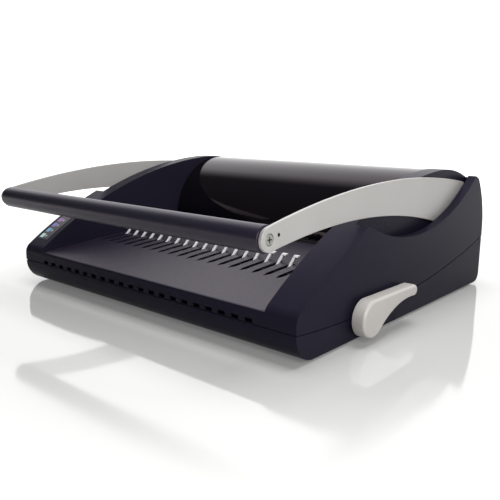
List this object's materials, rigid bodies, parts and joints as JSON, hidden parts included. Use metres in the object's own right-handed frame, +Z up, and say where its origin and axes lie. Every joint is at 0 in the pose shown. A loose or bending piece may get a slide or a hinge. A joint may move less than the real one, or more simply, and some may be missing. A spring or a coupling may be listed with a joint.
{
  "type": "comb binding machine",
  "caption": "Manual desk machine that punches sheets with a long two-armed handle and opens plastic binding combs with a row of hooks moved by a side lever.",
  "frame": {"origin": "middle of the outline on the table, at the underside of the rubber feet", "axes": "+X along the row of hooks to the side of the comb lever, +Y from the handle bar to the rear, +Z up"},
  "size_m": [0.387, 0.3654, 0.1287],
  "materials": {
    "casing": "fine-grained moulded plastic, dark violet-grey",
    "bed": "fine-grained moulded plastic, lighter violet-grey",
    "hood": "polished black",
    "tray": "plain moulded",
    "silver": "satin silver",
    "lever": "satin silver",
    "grip": "matt, soft touch",
    "steel": "machined",
    "hook": "bright",
    "screw": "zinc plated",
    "bush": "turned bronze",
    "rubber": "matt"
  },
  "bodies": {
    "casing": {"base_tray": "casing", "upper_cover": "casing", "comb_bed": "bed", "hood_panel": "hood", "rubber_feet": "rubber", "casing_screws": "screw", "front_die_plate": "steel", "punch_guide_plate": "steel", "paper_stop": "steel", "tie_rod": "steel", "left_frame_plate": "steel", "right_frame_plate": "steel", "left_shaft_bush": "bush", "right_shaft_bush": "bush", "left_bearing_block": "casing", "right_bearing_block": "casing", "left_rake_guide": "casing", "right_rake_guide": "casing"},
    "handle": {"left_arm": "silver", "right_arm": "silver", "handle_bar": "steel", "grip_sleeve": "grip", "arm_screws": "screw", "handle_shaft": "steel", "left_drive_pinion": "steel", "right_drive_pinion": "steel"},
    "punch": {"punch_bar": "steel", "punch_pins": "steel", "left_punch_rack": "steel", "right_punch_rack": "steel"},
    "lever": {"comb_lever": "lever", "lever_shaft": "steel", "left_rake_pinion": "steel", "right_rake_pinion": "steel"},
    "rake": {"rake_plate": "steel", "rake_hooks": "hook", "left_rake_rack": "steel", "right_rake_rack": "steel"},
    "tray": {"chip_tray": "tray"}
  },
  "joints": [
    {"name": "handle_turn", "type": "hinge", "parent": "casing", "child": "handle", "pos_m": [-0.0075, 0.1307, 0.084], "axis": [-1, 0, 0], "range_deg": [0, 68]},
    {"name": "punch_slide", "type": "slide", "parent": "casing", "child": "punch", "axis": [0, 1, 0], "range_m": [0, 0.0107]},
    {"name": "lever_turn", "type": "hinge", "parent": "casing", "child": "lever", "pos_m": [0.1815, -0.0693, 0.021], "axis": [1, 0, 0], "range_deg": [0, 118]},
    {"name": "rake_slide", "type": "slide", "parent": "casing", "child": "rake", "axis": [0, -1, 0], "range_m": [0, 0.0248]},
    {"name": "tray_slide", "type": "slide", "parent": "casing", "child": "tray", "axis": [0, 1, 0], "range_m": [0, 0.15]}
  ],
  "couplings": [
    {"joint": "punch_slide", "follows": "handle_turn", "m_per_rad": 0.009},
    {"joint": "rake_slide", "follows": "lever_turn", "m_per_rad": 0.012}
  ]
}
